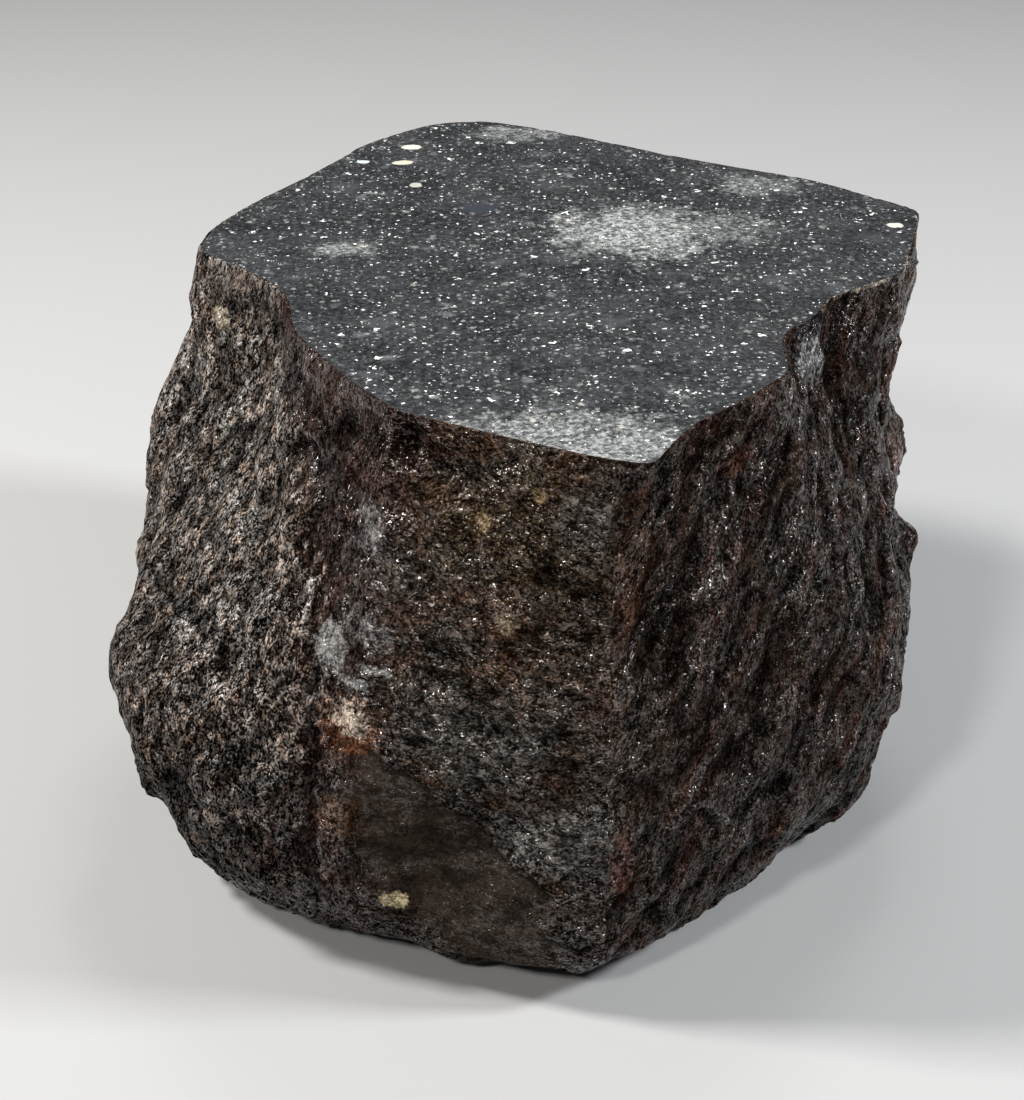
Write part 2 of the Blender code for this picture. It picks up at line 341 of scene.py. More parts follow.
# %% Relief of each side
LEFT_RIBS, FRONT_WRINKLES, RIGHT_RIDGES, BACK_RIDGES = (
    (0.10, -0.10, 1.0), (0.95, -0.25, -0.20), (0.38, 0.50, 0.90), (0.3, 0.2, 1.0))


def left_relief(tree, place):
    """Upright ribs, broken into facets, with grains on them."""
    ribs = stretched(tree, place, LEFT_RIBS, 6.0)
    return summed(tree, (bumps(tree, ribs, 9.0, detail=2.0, roughness=0.5), 1.7),
                  (flakes(tree, place, 11.0, 0.12, 0.3), 1.0),
                  (flakes(tree, stretched(tree, place, LEFT_RIBS, 1.6), 3.6, 0.13, 0.1), 1.0),
                  (bumps(tree, place, 1.8, detail=1.0), 0.45))


def front_relief(tree, place):
    """Small wrinkles that run across, and scales between them."""
    bent = stretched(tree, place, FRONT_WRINKLES, 2.0)
    return summed(tree, (bumps(tree, bent, 2.2, detail=1.0, distortion=0.5), 0.45),
                  (flakes(tree, bent, 4.6, 0.10, 0.1), 1.0),
                  (flakes(tree, place, 14.0, 0.08, 0.3), 1.0),
                  (bumps(tree, place, 10.0, detail=1.0), 0.5))


def right_relief(tree, place):
    """Long slanting ridges, broken by small chips."""
    drawn = stretched(tree, place, RIGHT_RIDGES, 6.0)
    short = stretched(tree, place, RIGHT_RIDGES, 2.6)
    return summed(tree, (bumps(tree, drawn, 5.5, detail=2.0, roughness=0.5), 1.7),
                  (flakes(tree, short, 3.4, 0.13, 0.1), 1.0),
                  (flakes(tree, place, 13.0, 0.11, 0.3), 1.0))


def back_relief(tree, place):
    """Slanting ridges and broken facets together."""
    drawn = stretched(tree, place, BACK_RIDGES, 3.0)
    return summed(tree, (bumps(tree, drawn, 7.5, detail=2.0, roughness=0.5), 1.5),
                  (flakes(tree, place, 13.0, 0.13, 0.3), 1.0),
                  (flakes(tree, place, 3.8, 0.13, 0.1), 1.0),
                  (bumps(tree, place, 2.0, detail=1.0), 0.35))


def named(name, kind="FLOAT"):
    """A number that is written on the mesh, for the relief tree."""
    return add(relief, "GeometryNodeInputNamedAttribute", {"Name": name},
               data_type=kind).outputs["Attribute"]


fine = add(relief, "GeometryNodeSubdivisionSurface", {
    "Mesh": given["Geometry"], "Level": given["Levels"], "Edge Crease": named("keen")})
position = relief.nodes.new("GeometryNodeInputPosition").outputs["Position"]
normal = relief.nodes.new("GeometryNodeInputNormal").outputs["Normal"]
place = vectors(relief, "SCALE", position, scale=1 / MM)
left_share, front_share, right_share = (named(name) for name in SIDES)
back_share = maths(relief, "SUBTRACT", 1.0, maths(
    relief, "ADD", maths(relief, "ADD", left_share, front_share), right_share), clamp=True)
height = 0.0
for share, strength, made in (
        (left_share, "Left height", left_relief(relief, place)),
        (front_share, "Front height", front_relief(relief, place)),
        (right_share, "Right height", right_relief(relief, place)),
        (back_share, "Back height", back_relief(relief, place))):
    height = maths(relief, "MULTIPLY_ADD", maths(relief, "MULTIPLY", share, given[strength]),
                   made, height)
print("relief of four sides made")

# %% [markdown]
# ## Moving the points
# Near the sawn edge the relief fades, so the edge keeps its line, and at the edge itself points
# move only sideways, so the sawn face stays flat. Inside the narrow band small chips are cut
# down from the edge. At the end every point is held inside the solid's box, so the stone is
# never larger than its frame, and the sawn face gets its own material.

# %% Moving the points
ON_TOP = 0.02  # a point this near the sawn face's height belongs to it
FOOT_FADE = 2.5
ROOM_OUT, ROOM_IN = (-0.6, 1.6), (0.0, 0.4)  # how near the box relief outwards or inwards fades
CHIP_WIDTH, CHIP_START, CHIP_FULL = 3.0, 0.05, 0.5

up = add(relief, "ShaderNodeSeparateXYZ", {0: place}).outputs["Z"]
below = maths(relief, "SUBTRACT", FACE_Z / MM, up)
on_top = add(relief, "FunctionNodeCompare", {"A": below, "B": ON_TOP}, operation="LESS_THAN",
             data_type="FLOAT").outputs["Result"]
outer = maths(relief, "SUBTRACT", 1.0, named("inner"), clamp=True)
rim_fade = eased(relief, below, 0.0, given["Rim depth"], given["Rim share"], 1.0)
share = maths(relief, "MULTIPLY", rim_fade, outer)
foot_fade = eased(relief, up, 0.0, FOOT_FADE)
share = maths(relief, "MULTIPLY", share, foot_fade)
room = vectors(relief, "MINIMUM", vectors(relief, "SUBTRACT", given["Highest"], position),
               vectors(relief, "SUBTRACT", position, given["Lowest"]))
room = add(relief, "ShaderNodeSeparateXYZ", {0: vectors(relief, "SCALE", room, scale=1 / MM)})
room = maths(relief, "MINIMUM", room.outputs["X"], room.outputs["Y"])
outwards = maths(relief, "MULTIPLY", maths(relief, "MAXIMUM", height, 0.0),
                 eased(relief, room, *ROOM_OUT))
inwards = maths(relief, "MULTIPLY", maths(relief, "MINIMUM", height, 0.0),
                eased(relief, room, *ROOM_IN))
height = maths(relief, "ADD", outwards, inwards)
reach = vectors(relief, "SCALE", normal, scale=maths(relief, "MULTIPLY", height, share))
flat_reach = vectors(relief, "MULTIPLY", reach, (1, 1, 0))
chip = eased(relief, bumps(relief, place, CHIP_WIDTH, detail=2.0, roughness=0.7), CHIP_START,
             CHIP_FULL)
chip = maths(relief, "MULTIPLY", maths(relief, "MULTIPLY", chip, outer), given["Chip depth"])
chip_reach = add(relief, "ShaderNodeCombineXYZ",
                 {"Z": maths(relief, "MULTIPLY", chip, -1.0)}).outputs[0]
top_reach = vectors(relief, "ADD", flat_reach, chip_reach)
move = add(relief, "GeometryNodeSwitch", {"Switch": on_top, "False": reach, "True": top_reach},
           input_type="VECTOR").outputs["Output"]
moved = vectors(relief, "ADD", position, vectors(relief, "SCALE", move, scale=MM))
held = vectors(relief, "MINIMUM", vectors(relief, "MAXIMUM", moved, given["Lowest"]),
               given["Highest"])
print("points moved and held inside the box")

# %% Materials of the faces
cut = add(relief, "GeometryNodeSetPosition", {"Geometry": fine.outputs["Mesh"],
                                              "Position": held})
plain = add(relief, "GeometryNodeRealizeInstances", {"Geometry": cut.outputs["Geometry"]})
sawn_faces = add(relief, "FunctionNodeCompare", {"A": named("part", "INT"), "B": SAWN},
                 operation="EQUAL", data_type="INT").outputs["Result"]
coated = add(relief, "GeometryNodeSetMaterial", {"Geometry": plain.outputs["Geometry"],
                                                 "Material": given["Rind"]})
polished = add(relief, "GeometryNodeSetMaterial",
               {"Geometry": coated.outputs["Geometry"], "Selection": sawn_faces,
                "Material": given["Sawn face"]})
add(relief, "NodeGroupOutput", {"Geometry": polished.outputs["Geometry"]})
print("relief tree:", len(relief.nodes), "nodes")

# %% [markdown]
# ## Effects as groups
# What the materials place many times is a node group with named inputs, built once. Scattered
# grains are the round chondrules and metal flecks: the stone is full of small balls, and a cut
# shows a disc wherever it meets one. A mark is one patch at a measured place, and both materials
# use it. Small breakage is the fine facets of broken rock, each a small plane with its own slope.

# %% Groups
def new_group(name, inputs, outputs):
    """An empty shader group with these sockets: name to (kind, value), and name to kind."""
    tree = bpy.data.node_groups.new(name, "ShaderNodeTree")
    for socket_name, (kind, value) in inputs.items():
        made = tree.interface.new_socket(socket_name, in_out="INPUT", socket_type=kind)
        made.default_value = value
    for socket_name, kind in outputs.items():
        tree.interface.new_socket(socket_name, in_out="OUTPUT", socket_type=kind)
    return tree, tree.nodes.new("NodeGroupInput").outputs


NUMBER, VECTOR, COLOUR = "NodeSocketFloat", "NodeSocketVector", "NodeSocketColor"

grains, given = new_group("scattered grains", {
    "Place": (VECTOR, (0, 0, 0)), "Width": (NUMBER, 2.0), "Share": (NUMBER, 0.5),
    "Radius": (NUMBER, 0.35), "Raggedness": (NUMBER, 0.1), "Softness": (NUMBER, 0.06),
    "Seed": (NUMBER, 0.0)}, {"Mask": NUMBER, "Tone": NUMBER})
cell = vectors(grains, "SCALE", given["Place"], scale=maths(grains, "DIVIDE", 1.0,
                                                             given["Width"]))
cell = vectors(grains, "ADD", cell, given["Seed"])
wander = add(grains, "ShaderNodeTexNoise", {"Vector": cell, "Scale": 3.0, "Detail": 1.0})
wander = vectors(grains, "SUBTRACT", wander.outputs["Color"], (0.5, 0.5, 0.5))
ragged = vectors(grains, "ADD", cell, vectors(grains, "SCALE", wander,
                                              scale=given["Raggedness"]))
balls = add(grains, "ShaderNodeTexVoronoi", {"Vector": ragged, "Scale": 1.0})
chance = add(grains, "ShaderNodeSeparateColor", {"Color": balls.outputs["Color"]})
size = maths(grains, "MULTIPLY", given["Radius"], maths(
    grains, "MULTIPLY_ADD", chance.outputs[1], 0.6, 0.4))
there = maths(grains, "LESS_THAN", chance.outputs[0], given["Share"])
disc = eased(grains, maths(grains, "SUBTRACT", size, balls.outputs["Distance"]), 0.0,
             given["Softness"])
add(grains, "NodeGroupOutput", {"Mask": maths(grains, "MULTIPLY", disc, there),
                                "Tone": chance.outputs[2]})

mark, given = new_group("mark", {
    "Place": (VECTOR, (0, 0, 0)), "Centre": (VECTOR, (0, 0, 0)), "Radii": (VECTOR, (1, 1, 1)),
    "Wander": (NUMBER, 0.0), "Softness": (NUMBER, 0.3)}, {"Mask": NUMBER})
off = vectors(mark, "DIVIDE", vectors(mark, "SUBTRACT", given["Place"], given["Centre"]),
              given["Radii"])
near = maths(mark, "SUBTRACT", 1.0, maths(mark, "ADD", vectors(mark, "LENGTH", off),
                                          given["Wander"]))
add(mark, "NodeGroupOutput", {"Mask": eased(mark, near, 0.0, given["Softness"])})

breakage, given = new_group("small breakage", {
    "Place": (VECTOR, (0, 0, 0)), "Width": (NUMBER, 1.0), "Tilt": (NUMBER, 0.35)},
    {"Height": NUMBER, "Tone": NUMBER})
cells = vectors(breakage, "SCALE", given["Place"], scale=maths(breakage, "DIVIDE", 1.0,
                                                               given["Width"]))
packed = add(breakage, "ShaderNodeTexVoronoi", {"Vector": cells, "Scale": 1.0})
lean = vectors(breakage, "SUBTRACT", packed.outputs["Color"], (0.5, 0.5, 0.5))
slope = vectors(breakage, "DOT_PRODUCT", lean, vectors(breakage, "SUBTRACT", cells,
                                                       packed.outputs["Position"]))
slope = maths(breakage, "MULTIPLY", maths(breakage, "MULTIPLY", slope, 2.0), maths(
    breakage, "MULTIPLY", given["Width"], given["Tilt"]))
tone = add(breakage, "ShaderNodeSeparateColor", {"Color": packed.outputs["Color"]})
add(breakage, "NodeGroupOutput", {"Height": slope, "Tone": tone.outputs[0]})
print("groups:", grains.name, "/", mark.name, "/", breakage.name)

# %% [markdown]
# ## Helpers for the materials
# Each material starts from the place on the stone in millimetres. It is read from Object
# coordinates, which belong to the stone, so no pattern slides when the stone or the camera
# moves. Groups are then placed with their own values, and colours are mixed by their masks.

# %% Material helpers
def placed(tree, group, **inputs):
    """Places a group in a tree and gives its outputs. An input's name has _ for each space."""
    named_inputs = {name.replace("_", " "): value for name, value in inputs.items()}
    return add(tree, "ShaderNodeGroup", named_inputs, node_tree=group).outputs


def mixed(tree, share, first, second, blend="MIX"):
    """Two colours mixed by share, which is 0 for the first."""
    made = add(tree, "ShaderNodeMix", {"Factor": share}, data_type="RGBA", blend_type=blend)
    for socket, colour in ((made.inputs[6], first), (made.inputs[7], second)):
        if isinstance(colour, bpy.types.NodeSocket):
            tree.links.new(colour, socket)
        else:
            socket.default_value = (*colour[:3], 1)
    return made.outputs[2]


def new_material(name):
    """A material with its tree, its shader, and the place on the stone in millimetres."""
    made = bpy.data.materials.new(name)
    made.use_nodes = True
    tree = made.node_tree
    seat = add(tree, "ShaderNodeTexCoord").outputs["Object"]
    return made, tree, tree.nodes["Principled BSDF"], vectors(tree, "SCALE", seat, scale=1 / MM)


# %% [markdown]
# ## The sawn face
# Ground and polished, the stone's inside is a dark blue-grey paste packed with grains: fine
# grey specks, cream chondrules of about a millimetre, a few large ones, and flecks of bare
# nickel iron that stay bright. Broken pieces of paler stone lie in it, and there the grains are
# dense. Each kind of grain is the same group with its own width and share.

# %% Values of the sawn face
PASTE, PASTE_LIGHT = (0.007, 0.008, 0.009), (0.066, 0.068, 0.071)
GRAINS = (  # width, share, radius, raggedness, seed, how strong, dark and light tone
    (11.0, 0.35, 0.42, 0.40, 2.7, 0.45, (0.022, 0.024, 0.028), (0.085, 0.092, 0.100)),
    (5.0, 0.40, 0.38, 0.40, 8.3, 0.60, (0.016, 0.018, 0.020), (0.22, 0.23, 0.24)),
    (0.7, 0.85, 0.50, 0.60, 3.1, 0.80, (0.025, 0.028, 0.031), (0.30, 0.31, 0.31)),
    (1.6, 0.70, 0.44, 0.60, 7.7, 0.80, (0.025, 0.028, 0.032), (0.33, 0.345, 0.36)),
    (2.9, 0.52, 0.38, 0.60, 1.9, 0.85, (0.035, 0.039, 0.044), (0.50, 0.50, 0.44)),
)
PALE_PIECES = {  # centre and radii along the face in mm, and how pale
    "large pale piece": ((22.0, 17.0), (22, 18), 1.0),
    "tail of the large piece": ((38.0, 19.0), (18, 12), 0.45),
    "pale piece in front": ((5.5, -83.0), (28, 18), 0.78),
    "small pale piece": ((-37.0, 7.0), (8, 6), 0.6),
    "pale piece at the back": ((-1.0, 82.0), (13, 7), 0.6),
    "pale piece back right": ((50.0, 45.0), (13, 9), 0.45),
}
LARGE_GRAINS = {  # centre, radii and tone
    "oval grain at the back": ((-26.0, 72.0), (2.6, 1.9), (0.62, 0.60, 0.46)),
    "grain beside it": ((-27.5, 61.0), (2.3, 1.6), (0.46, 0.45, 0.36)),
    "bluish grain": ((-36.5, 61.5), (1.5, 1.2), (0.45, 0.50, 0.55)),
    "grain at the left": ((-24.0, 46.0), (1.5, 1.5), (0.36, 0.36, 0.32)),
    "grain at the right": ((77.0, 21.0), (2.0, 1.5), (0.50, 0.50, 0.44)),
    "dark grain": ((-10.0, 31.0), (3.2, 2.2), (0.030, 0.034, 0.045)),
}
PALE_PASTE, PALE_PASTE_LIGHT = (0.060, 0.064, 0.067), (0.52, 0.53, 0.51)
FLECKS = (  # width, share, radius, raggedness, softness, seed
    (1.3, 0.34, 0.26, 0.9, 0.04, 11.0),
    (3.6, 0.45, 0.19, 0.8, 0.03, 17.0),
)
METAL, METAL_SHARE = (0.95, 0.95, 0.93), 0.3
FACE_ROUGHNESS, FLECK_ROUGHER = 0.34, 0.12
FACE_IOR, FACE_SPECULAR = 1.35, 0.25
DEEP = 50.0  # a patch on the face is as if drilled straight down
print("kinds of grain:", len(GRAINS), "pale pieces:", len(PALE_PIECES))

# %% Paste and pale pieces
sawn_face, tree, shader, place = new_material("sawn face")
wander = maths(tree, "MULTIPLY", bumps(tree, place, 5.0, detail=4.0, roughness=0.7), 1.1)
pale = 0.0
for (x, y), (across, along), strength in PALE_PIECES.values():
    patch = placed(tree, mark, Place=place, Centre=(x, y, FACE_Z / MM),
                   Radii=(across, along, DEEP), Wander=wander, Softness=0.6)["Mask"]
    pale = maths(tree, "MAXIMUM", pale, maths(tree, "MULTIPLY", patch, strength))
cloud = eased(tree, bumps(tree, place, 16.0, detail=3.0), -0.35, 0.45)
speckle = eased(tree, bumps(tree, place, 0.9, detail=3.0, roughness=0.7), -0.25, 0.5)
colour = mixed(tree, maths(tree, "MULTIPLY_ADD", cloud, 0.25, maths(
    tree, "MULTIPLY", speckle, 0.75)), PASTE, PASTE_LIGHT)
pale_paste = mixed(tree, speckle, PALE_PASTE, PALE_PASTE_LIGHT)
colour = mixed(tree, maths(tree, "MULTIPLY", pale, 0.9), colour, pale_paste)
print("paste ready")

# %% Grains and flecks
for width, share, radius, ragged, seed, strong, dark, light in GRAINS:
    crowd = maths(tree, "MULTIPLY_ADD", pale, 0.28, maths(
        tree, "MULTIPLY", share, maths(tree, "MULTIPLY_ADD", cloud, 0.6, 0.6)))
    kind = placed(tree, grains, Place=place, Width=width, Share=crowd, Radius=radius,
                  Raggedness=ragged, Softness=0.25, Seed=seed)
    rare = maths(tree, "POWER", kind["Tone"], 1.8)
    rare = maths(tree, "MULTIPLY_ADD", pale, 0.7, rare, clamp=True)
    colour = mixed(tree, maths(tree, "MULTIPLY", kind["Mask"], strong), colour,
                   mixed(tree, rare, dark, light))
for (x, y), (across, along), tone in LARGE_GRAINS.values():
    disc = placed(tree, mark, Place=place, Centre=(x, y, FACE_Z / MM),
                  Radii=(across, along, DEEP), Wander=maths(tree, "MULTIPLY", wander, 0.7),
                  Softness=0.15)["Mask"]
    colour = mixed(tree, disc, colour, tone)
flecks = 0.0
for width, share, radius, ragged, softness, seed in FLECKS:
    kind = placed(tree, grains, Place=place, Width=width, Share=share, Radius=radius,
                  Raggedness=ragged, Softness=softness, Seed=seed)
    flecks = maths(tree, "MAXIMUM", flecks, kind["Mask"])
colour = mixed(tree, flecks, colour, METAL)
tree.links.new(colour, shader.inputs["Base Color"])
tree.links.new(maths(tree, "MULTIPLY", flecks, METAL_SHARE), shader.inputs["Metallic"])
tree.links.new(maths(tree, "MULTIPLY_ADD", flecks, FLECK_ROUGHER, FACE_ROUGHNESS),
               shader.inputs["Roughness"])
shader.inputs["IOR"].default_value = FACE_IOR
shader.inputs["Specular IOR Level"].default_value = FACE_SPECULAR
print("sawn face:", len(tree.nodes), "nodes")

# %% [markdown]
# ## The rind
# Outside, the stone has lain in the open for a long time. The left side has lost its varnish
# and shows grey-brown grains, while the front and the right side keep a dark, half glossy
# varnish, with rust along the ridges. One material does all sides, because they blend.

# %% Rind
LEFT_GRAIN = (0.22, -0.22, 0.95)
FOLD_WIDTH, FOLD_KEENNESS = 2.0, 9.0

rind, tree, shader, place = new_material("weathered rind")


def written(name):
    """A number that is written on the mesh."""
    return add(tree, "ShaderNodeAttribute", attribute_name=name).outputs["Fac"]


def drawn_out(times):
    """The place, pressed together along the way the surface's grain runs."""
    press = maths(tree, "MULTIPLY", along, 1 - 1 / times)
    return vectors(tree, "SUBTRACT", place, vectors(tree, "SCALE", axis, scale=press))


grey_side, front, right, hollow, deep, recess = (written(name) for name in (
    "grey_side", "front_side", "right_side", "hollow", "deep_hollow", "recess"))
axis = mixed(tree, maths(tree, "GREATER_THAN", front, 0.5), LEFT_GRAIN, FRONT_WRINKLES)
axis = mixed(tree, maths(tree, "GREATER_THAN", right, 0.5), axis, RIGHT_RIDGES)
axis = vectors(tree, "NORMALIZE", axis)
along = vectors(tree, "DOT_PRODUCT", place, axis)

grit = bumps(tree, drawn_out(1.3), 0.42, detail=1.0)
scales = bumps(tree, drawn_out(1.6), 1.1, detail=1.5, distortion=0.4)
chips = placed(tree, breakage, Place=drawn_out(1.5), Width=1.1, Tilt=0.32)
folds = bumps(tree, drawn_out(1.5), FOLD_WIDTH, detail=2.0, distortion=0.8)
folds = maths(tree, "SUBTRACT", 1.0, maths(tree, "MULTIPLY", maths(
    tree, "ABSOLUTE", folds), FOLD_KEENNESS), clamp=True)
mottle = eased(tree, bumps(tree, place, 9.0, detail=3.0, roughness=0.6), -0.3, 0.3)
streak = eased(tree, bumps(tree, drawn_out(7.0), 4.0, detail=3.0, roughness=0.6), 0.0, 0.4)
glossy = eased(tree, bumps(tree, drawn_out(2.0), 7.0, detail=3.0, roughness=0.6), -0.25, 0.2)
patches = eased(tree, bumps(tree, drawn_out(1.7), 4.0, detail=4.0, roughness=0.6), -0.25, 0.15)
wander = bumps(tree, place, 1.6, detail=4.0, roughness=0.7)
print("grain and folds ready")

# %% [markdown]
# ## Colours of the rind
# Raised grains are painted paler and hollows nearly black, as painted shade of the grain. The
# same painted shade darkens the colour along a fold and in patches. A tint that changes slowly
# over the stone turns the same tones pinkish, tan or rusty.

# %% Painted shade
HOLLOW_SHADE, DEEP_SHADE, PATCH_SHADE = 0.55, 0.45, 0.74
FOLD_SHADE, FRONT_FOLDS, RECESS_FOLDS = 0.45, 0.35, -0.6
FRONT_PATCHES = -0.30

raised = eased(tree, maths(tree, "MULTIPLY_ADD", scales, 0.8, grit), -0.35, 0.35)
sunk = eased(tree, hollow, -0.15, 0.30)
deeply = eased(tree, deep, -0.25, 0.50)
deeply = maths(tree, "MULTIPLY", deeply, maths(tree, "SUBTRACT", 1.0, recess))
# Painted shade: the colour is darkened in hollows, in deeper dips, along folds and in patches.
painted_shade = maths(tree, "MULTIPLY", maths(tree, "MULTIPLY_ADD", sunk, -HOLLOW_SHADE, 1.0),
                 maths(tree, "MULTIPLY_ADD", deeply, -DEEP_SHADE, 1.0))
painted_fold_shade = maths(tree, "MULTIPLY", folds, maths(tree, "MULTIPLY_ADD", recess, RECESS_FOLDS, maths(
    tree, "MULTIPLY_ADD", front, FRONT_FOLDS, FOLD_SHADE)))
painted_shade = maths(tree, "MULTIPLY", painted_shade, maths(tree, "SUBTRACT", 1.0, painted_fold_shade))
shaded = maths(tree, "MULTIPLY", maths(tree, "SUBTRACT", 1.0, patches),
               maths(tree, "MULTIPLY_ADD", front, FRONT_PATCHES, PATCH_SHADE))
painted_shade = maths(tree, "MULTIPLY", painted_shade, maths(tree, "SUBTRACT", 1.0, shaded))
# Painted shade of the grain: pits darker and raised grain paler, with a quarter of each chip's
# own tone.
tone = maths(tree, "MULTIPLY_ADD", chips["Tone"], 0.25, maths(tree, "MULTIPLY", raised, 0.75))
print("painted shade ready")

# %% Tones of each side
# The low tint below is painted shade towards the foot.
LEVEL_WANDER, LOW_SHADE_FULL, LOW_SHADE_NONE = 26.0, 20.0, 96.0  # mm above the foot where the low tint ends
GREY_CONTRAST = 2.55
RECESS_BROWN, RECESS_STRENGTH = (0.042, 0.030, 0.022), 0.85


def toned_with_pit_shade(darkest, palest, *tints, by=tone):
    """Tones from darkest in the pits to palest on raised grains, as painted shade of the grain,
    tinted in patches.
    """
    colour = mixed(tree, by, darkest, palest)
    for share, tint in tints:
        colour = mixed(tree, share, colour, tint, blend="MULTIPLY")
    return colour


# Painted shade towards the foot: low is 1 near the foot, fades out higher up, and darkens the
# grey and the brown.
level = maths(tree, "MULTIPLY_ADD", mottle, LEVEL_WANDER, add(
    tree, "ShaderNodeSeparateXYZ", {0: place}).outputs["Z"])
low = maths(tree, "SUBTRACT", 1.0, eased(tree, level, LOW_SHADE_FULL, LOW_SHADE_NONE))
ribs = eased(tree, bumps(tree, stretched(tree, place, LEFT_RIBS, 7.0), 4.5, detail=3.0,
                         roughness=0.6), -0.05, 0.25)
warm = eased(tree, bumps(tree, place, 2.6, detail=2.0), 0.0, 0.35)
grey = toned_with_pit_shade((0.009, 0.008, 0.007), (0.62, 0.575, 0.54),
             (mottle, (1.0, 0.87, 0.78)), (warm, (1.0, 0.82, 0.66)), (streak, (0.45, 0.36, 0.31)),
             (low, (0.20, 0.165, 0.15)), (ribs, (0.34, 0.31, 0.29)),
             by=maths(tree, "POWER", tone, GREY_CONTRAST))
brown = toned_with_pit_shade((0.010, 0.007, 0.005), (0.120, 0.092, 0.070),
              (mottle, (1.0, 0.66, 0.46)), (low, (0.42, 0.37, 0.36)))
black = toned_with_pit_shade((0.010, 0.006, 0.004), (0.046, 0.027, 0.018),
              (streak, (1.45, 0.80, 0.62)))
strip = toned_with_pit_shade((0.008, 0.005, 0.004), (0.075, 0.055, 0.048),
              (mottle, (0.9, 0.55, 0.45)))
back = mixed(tree, mottle, brown, mixed(tree, 0.4, brown, grey))
colour = mixed(tree, front, back, brown)
colour = mixed(tree, right, colour, black)
colour = mixed(tree, written("strip"), colour, strip)
colour = mixed(tree, grey_side, colour, grey)
colour = mixed(tree, maths(tree, "MULTIPLY", recess, RECESS_STRENGTH), colour, RECESS_BROWN)
print("tones of four sides made")

# %% [markdown]
# ## Marks that can be named
# Rust, blooms, pale fills and a few single grains sit at their own places on the stone, and so do
# painted sheen and painted highlights where lit facets catch the light. A mark belongs to the
# rind, so the painted shade darkens it with the rest in hollows. Single grains and chips are
# added after that, because they are fresh and show whole, and so are a painted highlight and
# painted glints.

# %% Marks on the rind
MARKS = {  # centre, radii, colour, how strong
    "ochre bloom on the front": ((2, -86, 97), (24, 14, 14), (0.095, 0.058, 0.022), 0.60),
    # Painted sheen: the next two grey patches stand for a broad sheen on the front's varnish.
    "painted sheen above the recess": ((6, -90, 38), (13, 10, 9), (0.27, 0.25, 0.235), 0.65),
    "painted sheen in mid front": ((-9, -86, 57), (17, 12, 11), (0.21, 0.195, 0.18), 0.55),
    "grey scales below the rim": ((11, -86, 101), (8, 8, 8), (0.22, 0.20, 0.185), 0.50),
    "rust down the front edge": ((18, -88, 92), (5, 8, 17), (0.10, 0.036, 0.014), 0.70),
    "rust low on the edge": ((17, -92, 33), (2.6, 5, 9), (0.15, 0.045, 0.030), 0.70),
    "red line on the right": ((36, -67, 101), (4.5, 5, 3.2), (0.24, 0.075, 0.035), 0.75),
    "red-brown under the rim": ((-20, -70, 107), (7, 8, 5), (0.060, 0.020, 0.012), 0.80),
    "orange in the recess": ((-34, -84, 37), (5, 7, 5), (0.16, 0.070, 0.022), 0.65),
    "rust under the bright chip": ((-32, -82, 55), (7, 8, 6), (0.26, 0.10, 0.045), 0.80),
    "bright chip": ((-32, -82, 56.5), (4.5, 7, 3.6), (1.0, 0.82, 0.66), 0.85),
    # Painted glints: the next two grey patches stand for glints on lit facets of the strip.
    "painted glints on the upper facet": ((-28, -72, 90), (4.0, 7, 6), (0.46, 0.44, 0.43), 0.55),
    "painted glints on the middle facet": ((-28, -78, 73), (8, 7, 3.5), (0.38, 0.36, 0.35), 0.55),
    "brown corner": ((-56, -4, 110), (18, 18, 8), (0.145, 0.113, 0.096), 0.75),
    "pink facet": ((78, 0, 70), (5, 9, 6), (0.30, 0.18, 0.15), 0.75),
    "brown facet of the block": ((77, 5, 104), (5, 10, 10), (0.16, 0.095, 0.055), 0.70),
    "dark wall of the notch": ((54, -29, 110.5), (7, 6, 3), (0.035, 0.033, 0.036), 0.85),
    "pale fill of the notch": ((52.5, -33, 105), (7, 7, 4.5), (0.46, 0.455, 0.45), 0.90),
    "bare edge of the block": ((67, -11, 112.2), (17, 19, 0.9), (0.42, 0.34, 0.27), 0.80),
    # Painted highlight on a lit facet of the left outline.
    "painted highlight on the left outline": ((-74, 4, 90), (5, 10, 8), (0.50, 0.49, 0.48), 0.70),
}
# Besides fresh grains and chips, this holds a painted highlight and painted glints, added after
# the painted shade so they stay bright.
SINGLE_GRAINS_AND_PAINTED_GLINTS = {  # the same, for grains and chips that show whole
    # Painted highlight on a lit facet of the strip, and two painted glints beside it.
    "painted highlight on a facet of the strip": ((-35.4, -75, 68.5), (3.6, 6, 5.2), (0.40, 0.39, 0.38), 0.65),
    "painted glint below it": ((-31.0, -78, 63.5), (3.4, 6, 1.2), (0.42, 0.41, 0.40), 0.60),
    "painted glint beside it": ((-27.0, -80, 66.5), (3.6, 6, 1.0), (0.42, 0.41, 0.40), 0.60),
    "pebble": ((-61.7, -3.0, 101.2), (2.8, 4, 2.6), (0.42, 0.355, 0.26), 1.0),
    "round grain on the front": ((-3.8, -87.1, 80.4), (2.5, 5, 2.5), (0.30, 0.225, 0.145), 0.9),
    "grain above it": ((-7.9, -82.1, 97.0), (1.6, 3, 1.8), (0.24, 0.17, 0.090), 0.8),
    "grain near the rim": ((1.7, -85.1, 103.5), (1.5, 3, 1.4), (0.26, 0.18, 0.095), 0.8),
    "yellow chip low on the front": ((-24.7, -86, 19.2), (2.9, 6, 2.0), (0.74, 0.62, 0.38), 1.0),
}


